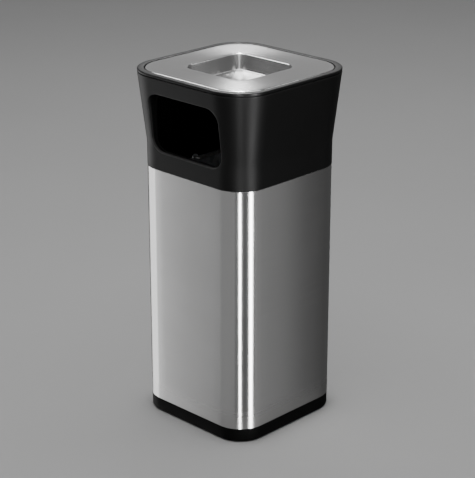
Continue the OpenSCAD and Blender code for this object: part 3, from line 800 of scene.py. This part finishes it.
def makeRim():
    s = rimSet
    half, top = rimHigh.x, rimHigh.z
    spigot = half - s["spigotIn"]
    neck = half - s["grooveDepth"]
    under = headHigh.z + s["groove"]
    outer = [(spigot, rimLow.z + 0.5), (spigot, headHigh.z), (neck, headHigh.z), (neck, under - 0.3),
             (neck + 0.3, under)]
    outer += arcPoints(half - 0.5, under + 0.5, 0.5, -90, 0, 3, 0.4)
    outer += arcPoints(half - s["edge"], top - s["edge"], s["edge"], 0, 90, 6, 1.0)
    outer += [(recessHalf + 4, top, 0.1)]
    recess = arcPoints(recessHalf + 0.8, top - 0.8, 0.8, 90, 180, 4, 0.9)
    recess += [(recessHalf, ledgeTop + 0.4), (recessHalf - 0.4, ledgeTop)]
    inner = [(ledgeIn + 0.6, ledgeTop), (ledgeIn, ledgeTop - 0.6, 0.3), (ledgeIn, ledgeLow + 0.4),
             (ledgeIn + 0.4, ledgeLow), (spigot - s["spigotWall"], ledgeLow),
             (spigot - s["spigotWall"], rimLow.z + 0.4), (spigot - s["spigotWall"] + 0.4, rimLow.z),
             (spigot - 0.5, rimLow.z)]
    rings, rubAndLit = [], []
    for core, points in ((tubeCore, outer), (plateCore, recess), (tubeCore, inner)):
        for width, z, *value in points:
            rings.append([(x, y, z) for x, y in squarePath(width, width - core, 24)])
            rubAndLit.append(value[0] if value else 0.0)
    form = Form()
    form.add(rings, rubAndLit)
    form.make("topRim", "head", "rim_black", "top_bezel")
    screws, pads = Form(), Form()
    tail = mmBox("bezel_screws")[0].z
    profile = screwProfile(ledgeTop, 1, tail, s["screwRadius"], s["screwHead"], s["screwHigh"],
                           s["socket"], s["socketDeep"])
    for x, y in fourCorners(rimScrewPlace):
        screws.turn(profile, (x, y, 0))
    screws.make("rimScrews", "head", "fasteners", "bezel_screws")
    padLow, padHigh = mmBox("tray_pads")
    place, radius, soft = ledgeIn + s["ledgeWidth"] / 2 - s["padIn"], s["padRadius"], s["padSoft"]
    dome = arcPoints(radius - soft, padHigh.z - soft, soft, 0, 90, 4, 0.3)
    for x, y in ((place, 0), (0, place), (-place, 0), (0, -place)):
        pads.turn([(0.2, padLow.z), (radius, padLow.z)] + dome + [(0.2, padHigh.z)], (x, y, 0))
    pads.make("trayPads", "head", "foot_rubber", "tray_pads")


makeRim()
print("head and rim made")

# The ashtray: one pressed plate with a square dish
traySet = {"sheet": 0.8, "edge": 2.0, "dishHalf": 67.0, "dishRadius": 23.0, "slope": 30.0, "lip": 2.5,
           "floorRound": 3.0, "seat": 0.3}


def makeTray():
    s = traySet
    low, high = mmBox("ashtray_pan")
    half, top = high.x, high.z
    floorTop = low.z + s["sheet"]
    slope = math.radians(s["slope"])
    dishCore = s["dishHalf"] - s["dishRadius"]
    lipHeight = top - s["lip"]
    wallHalf = s["dishHalf"] - s["lip"] * math.cos(slope)
    wallHeight = lipHeight + s["lip"] * math.sin(slope)
    arcHeight = floorTop + s["floorRound"]
    footHeight = arcHeight - s["floorRound"] * math.sin(slope)
    footHalf = wallHalf - (wallHeight - footHeight) * math.tan(slope)
    arcHalf = footHalf - s["floorRound"] * math.cos(slope)
    turnHalf, turnHeight = half - s["edge"], top - s["edge"]
    rings, rubAndLit = [], []

    def put(width, radius, z, value=0.0):
        rings.append([(x, y, z) for x, y in squarePath(width, max(radius, 0.5), 24)])
        rubAndLit.append(value)

    # One skin of the sheet from its skirt to the middle of the dish
    def skinDown(offset):
        upper = offset == 0
        put(half - offset, half - offset - plateCore, ledgeTop + s["seat"], 0.3)
        # The upper skin's outer edge (1.0) and the dish's lip (0.8) get high values, a painted highlight
        # along them as well as edge wear
        for u, v in arcPoints(turnHalf, turnHeight, s["edge"] - offset, 0, 90, 6):
            put(u, u - plateCore, v, 1.0 if upper else 0.0)
        for k in range(1, 7):
            share = k / 7
            radius = (turnHalf - plateCore) * (1 - share) + s["dishRadius"] * share
            put(turnHalf + (s["dishHalf"] - turnHalf) * share, radius, top - offset, 0.12)
        for u, v in arcPoints(s["dishHalf"], lipHeight, s["lip"] - offset, 90, 180 - s["slope"], 6):
            put(u, u - dishCore, v, 0.8 if upper else 0.0)
        for k in range(1, 6):
            u = wallHalf + (footHalf - wallHalf) * k / 6 + offset * math.cos(slope)
            put(u, u - dishCore, wallHeight + (footHeight - wallHeight) * k / 6 - offset * math.sin(slope))
        for u, v in arcPoints(arcHalf, arcHeight, s["floorRound"] + offset, -s["slope"], -90, 5):
            put(u, u - dishCore, v)
        for share in (0.85, 0.6, 0.3, 0.08):
            put(arcHalf * share, (arcHalf - dishCore) * share, floorTop - offset)

    skinDown(0.0)
    upperCount = len(rings)
    skinDown(s["sheet"])
    order = list(range(upperCount - 1, -1, -1)) + list(range(upperCount, len(rings)))
    form = Form()
    form.add([rings[i] for i in order], [rubAndLit[i] for i in order], "capped")
    form.make("ashtrayPlate", "ashtray", "tray_steel", "ashtray_pan")


makeTray()
print("ashtray made")

# The inner bin: a sheet sleeve with a rolled rim and two swaged beads, over a flanged floor
linerSet = {"cornerIn": 2.5, "sheet": 0.7, "hem": 7.0, "beads": (120.0, 300.0), "beadHalf": 7.0,
            "beadOut": 1.4, "floorEdge": 1.2, "floorSink": 1.2}
linerLow, linerHigh = mmBox("liner_bucket")
linerCore = tubeCore - linerSet["cornerIn"]
linerIn = mmBox("bail_ears")[1].x


def makeLiner():
    s = linerSet
    half = linerIn + s["sheet"]
    hem = linerHigh.x

    def beadRun(base, heights):
        run = []
        for z in heights:
            out = 0.0
            for bead in s["beads"]:
                across = abs(z - bead) / s["beadHalf"]
                if across < 1:
                    out = s["beadOut"] * (0.5 + 0.5 * math.cos(math.pi * across))
            run.append((base + out, z, 0.5 * out / s["beadOut"]))
        return run

    heights = [linerLow.z + 1]
    for bead in s["beads"]:
        heights += [bead + s["beadHalf"] * k / 5 for k in range(-5, 6)]
    hemLow = linerHigh.z - s["hem"]
    heights += [hemLow - 1]
    curl = (hem - half) / 2
    profile = [(linerIn, linerLow.z), (half, linerLow.z, 0.5)] + beadRun(half, heights)
    profile += arcPoints(half + curl, hemLow + curl, curl, 180, 360, 5, 0.4)
    profile += arcPoints(hem - 1.1, linerHigh.z - 1.1, 1.1, 0, 90, 5, 0.7)
    profile += arcPoints(linerIn + 0.9, linerHigh.z - 0.9, 0.9, 90, 180, 4, 0.6)
    profile += beadRun(linerIn, heights[::-1])
    form = Form()
    form.hoop(linerCore, profile, cornerSteps=16)
    form.make("linerSleeve", "liner", "galvanised", "liner_bucket")
    low, high = mmBox("liner_floor")
    half, sheet = high.x, s["sheet"]
    floor = Form()
    edge, sink = s["floorEdge"], s["floorSink"]
    upper = [(8, high.z - sink), (half - 22, high.z - sink), (half - 18, high.z - 0.2, 0.2),
             (half - 16, high.z)]
    upper += arcPoints(half - edge, high.z - edge, edge, 90, 0, 4, 0.3) + [(half, low.z, 0.4)]
    lower = [(half - sheet, low.z, 0.4)] + arcPoints(half - edge, high.z - edge, edge - sheet, 0, 90, 3)
    lower += [(half - 16, high.z - sheet), (half - 18, high.z - sheet - 0.2),
              (half - 22, high.z - sheet - sink), (8, high.z - sheet - sink)]
    floor.hoop(linerCore, upper + lower, "capped", 16)
    floor.make("linerFloor", "liner", "galvanised", "liner_floor")


makeLiner()

# The bail: a wire that hooks into two riveted ears and lies on the sleeve's rim, with a moulded grip
bailSet = {"wire": 2.5, "elbow": 5.0, "bend": 52.0, "arm": 98.0, "reach": 104.0, "pinHead": 3.8,
           "pinHeadHigh": 1.3, "earRadius": 7.0, "earHole": 2.8, "rivetUp": 5.0, "rivetSide": 4.0,
           "rivetHead": 3.2, "rivetHigh": 1.0, "gripRadius": 6.2, "gripHalf": 42.0, "gripRing": 0.45,
           "gripPitch": 4.0, "gripRound": 1.4}


def makeBail():
    s = bailSet
    earLow, earHigh = mmBox("bail_ears")
    pivot = earHigh.z - s["earRadius"]
    earThick = 1.5
    earIn = linerIn - earThick
    ears, rivets, wire, grip = Form(), Form(), Form(), Form()
    outline = []  # across and up, from the pivot
    drop = pivot - earLow.z
    radius, soft, edge = s["earRadius"], 2.0, 0.3
    outline += arcPoints(0, 0, radius, 0, 180, 15)
    outline += [(-radius, -drop * k / 5) for k in range(1, 5)]
    outline += arcPoints(soft - radius, soft - drop, soft, 180, 270, 4)
    outline += [((radius - soft) * (k / 2 - 1), -drop) for k in (1, 2, 3)]
    outline += arcPoints(radius - soft, soft - drop, soft, 270, 360, 4)
    outline += [(radius, -drop * k / 5) for k in range(4, 0, -1)]
    for side in (1, -1):
        rings = []
        for x, cut in ((earIn, edge), (earIn + edge, 0), (linerIn - edge, 0), (linerIn, edge)):
            outer, inner = [], []
            for u, v in outline:
                length = math.hypot(u, v)
                keep = 1 - cut / length
                outer.append((side * x, u * keep, pivot + v * keep))
                reach = (s["earHole"] + cut) / length
                inner.append((side * x, u * reach, pivot + v * reach))
            rings.append((outer, inner))
        loop = [outer for outer, inner in rings] + [inner for outer, inner in reversed(rings)]
        ears.add(loop, [0.7, 0.2, 0.2, 0.7, 0.5, 0.2, 0.2, 0.5])
        for y in (-s["rivetSide"], s["rivetSide"]):
            inner, outer = earIn, linerIn + linerSet["sheet"]
            head, tall = s["rivetHead"], s["rivetHigh"]
            dome = [(head * math.cos(a), tall * math.sin(a), 0.6) for a in (0.0, 0.35, 0.7, 1.05, 1.35, 1.5)]
            profile = [(r, side * (inner - t), w) for r, t, w in reversed(dome)] + [(2.0, side * inner)]
            profile += [(2.0, side * outer)] + [(r, side * (outer + t), w) for r, t, w in dome]
            rivets.turn(profile, (0, y, earLow.z + s["rivetUp"]), "X")
    pinEnd = linerIn + 2.4
    elbow, arm, bend, reach = s["elbow"], s["arm"], s["bend"], s["reach"]
    pinHead = s["pinHeadHigh"]
    path = [(pinEnd + pinHead, 0), (pinEnd + pinHead * 0.8, 0), (pinEnd + 0.3, 0), (pinEnd, 0), (linerIn, 0)]
    radii = [s["pinHead"] - 0.6, s["pinHead"] - 0.1, s["pinHead"], s["wire"], s["wire"]]
    path += arcPoints(arm + elbow, elbow, elbow, 270, 180, 8)
    path += arcPoints(arm - bend, reach - bend, bend, 0, 90, 18)
    radii += [s["wire"]] * (len(path) - len(radii))
    path += [(-x, y) for x, y in reversed(path)]
    radii += radii[::-1]
    wire.bar(path, radii, pivot)
    half, ringDeep = s["gripHalf"], s["gripRing"]
    profile = [(s["wire"] + 0.1, -half + 0.4), (s["wire"] + 0.5, -half)]
    r = s["gripRound"]
    shoulder = [(s["gripRadius"] - r + r * math.sin(a), half - r + r * math.cos(a), 0.5)
                for a in (0.0, 0.4, 0.8, 1.2, 1.57)]
    profile += [(out, -along, rubAndLit) for out, along, rubAndLit in shoulder]
    count = int((2 * half - 12) / s["gripPitch"])
    for k in range(count):
        start = -half + 6 + k * s["gripPitch"]
        for along, deep in ((0.0, 0.0), (0.5, 0.6), (1.0, 1.0), (1.5, 0.6), (2.0, 0.0)):
            profile.append((s["gripRadius"] - ringDeep * deep, start + along, 0.3 * (1 - deep)))
    profile += shoulder[::-1]
    profile += [(s["wire"] + 0.5, half), (s["wire"] + 0.1, half - 0.4)]
    grip.turn(profile, (0, reach, pivot), "X", "closed", 32)
    ears.make("bailEars", "liner", "galvanised", "bail_ears")
    rivets.make("earRivets", "liner", "fasteners", "ear_rivets")
    wire.make("bailWire", "bail", "plain_steel", "bail_wire")
    grip.make("bailGrip", "bail", "grip_black", "bail_grip")


makeBail()
print("inner bin and bail made")

# Pieces whose CAD shape is already right only take their finish
for node, slot in (("seam_strip", "plain_steel"), ("top_frame", "galvanised"), ("floor_panel", "galvanised")):
    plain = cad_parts[node].data
    plain.materials.clear()
    plain.materials.append(finishes[slot])

# Floor and light
stageSet = {"floor": 30.0, "worldLow": 0.085, "worldHigh": 0.16}

# azimuth, distance from the bin, height of the middle, width and height, power, height aimed at
boxSet = {
    "leftBox": (-70.5, 0.95, -0.20, (0.80, 1.30), 6.2, -0.20),
    "leftFill": (-17, 1.60, -0.35, (3.00, 1.60), 3.9, -0.35),
    "narrowStrip": (43, 1.30, 0.20, (0.11, 1.80), 19.0, 0.20),
    "wideStrip": (82, 1.30, 0.20, (0.25, 1.80), 32.0, 0.20),
    "rightFill": (112, 0.65, 0.00, (0.42, 1.20), 0.34, 0.00),
    "backStrip": (224.8, 1.60, 2.20, (0.15, 0.80), 40.0, 0.59),
    "backWall": (224.4, 1.80, 1.15, (2.00, 0.80), 1.15, 0.59),
    "leftHigh": (-88, 1.00, 1.70, (0.70, 0.34), 4.6, 0.59),
    "rightHigh": (152, 1.00, 1.48, (0.40, 0.12), 0.42, 0.59),
}
roofSet = {"height": 3.2, "size": 3.4, "power": 75.0}


def makeFloor():
    bm = bmesh.new()
    bmesh.ops.create_grid(bm, x_segments=8, y_segments=8, size=stageSet["floor"])
    mesh = bpy.data.meshes.new("paleFloor")
    bm.to_mesh(mesh)
    bm.free()
    floor = bpy.data.objects.new("paleFloor", mesh)
    bpy.context.scene.collection.objects.link(floor)
    mesh.materials.append(makeFloorPaint())
    floor.visible_glossy = False  # the steel mirrors a dark room, not the floor


def standAt(thing, azimuth, distance, height, aim):
    turn = math.radians(azimuth)
    thing.location = (math.sin(turn) * distance, -math.cos(turn) * distance, height)
    thing.rotation_mode = "QUATERNION"
    thing.rotation_quaternion = (Vector((0, 0, aim)) - thing.location).to_track_quat("-Z", "Y")
    bpy.context.scene.collection.objects.link(thing)


def addBox(name, size, power, place):
    data = bpy.data.lights.new(name, "AREA")
    data.shape = "RECTANGLE"
    data.size, data.size_y = size
    data.energy = power
    light = bpy.data.objects.new(name, data)
    light.visible_camera = False
    standAt(light, *place)
    return light


# The roof lights the room; the other boxes are only there to be mirrored
def makeBoxes():
    for name, (azimuth, distance, height, size, power, aim) in boxSet.items():
        box = addBox(name, size, power, (azimuth, distance, height, aim))
        box.visible_diffuse = False
    roof = roofSet
    addBox("roof", (roof["size"], roof["size"]), roof["power"], (0, 0.01, roof["height"], 0))


# The room is darker below the horizon than above it
def makeWorld():
    world = bpy.data.worlds.new("softRoom")
    world.use_nodes = True
    tree = world.node_tree
    coords = tree.nodes.new("ShaderNodeTexCoord")
    parts = tree.nodes.new("ShaderNodeSeparateXYZ")
    level = tree.nodes.new("ShaderNodeMapRange")
    level.inputs["From Min"].default_value = -0.05
    level.inputs["From Max"].default_value = 0.35
    level.inputs["To Min"].default_value = stageSet["worldLow"]
    level.inputs["To Max"].default_value = stageSet["worldHigh"]
    tree.links.new(coords.outputs["Generated"], parts.inputs[0])
    tree.links.new(parts.outputs["Z"], level.inputs["Value"])
    back = tree.nodes["Background"]
    back.inputs["Color"].default_value = grey(1.0)
    tree.links.new(level.outputs["Result"], back.inputs["Strength"])
    bpy.context.scene.world = world


makeFloor()
makeWorld()
makeBoxes()
print("floor and light made")

bpy.context.view_layer.update()
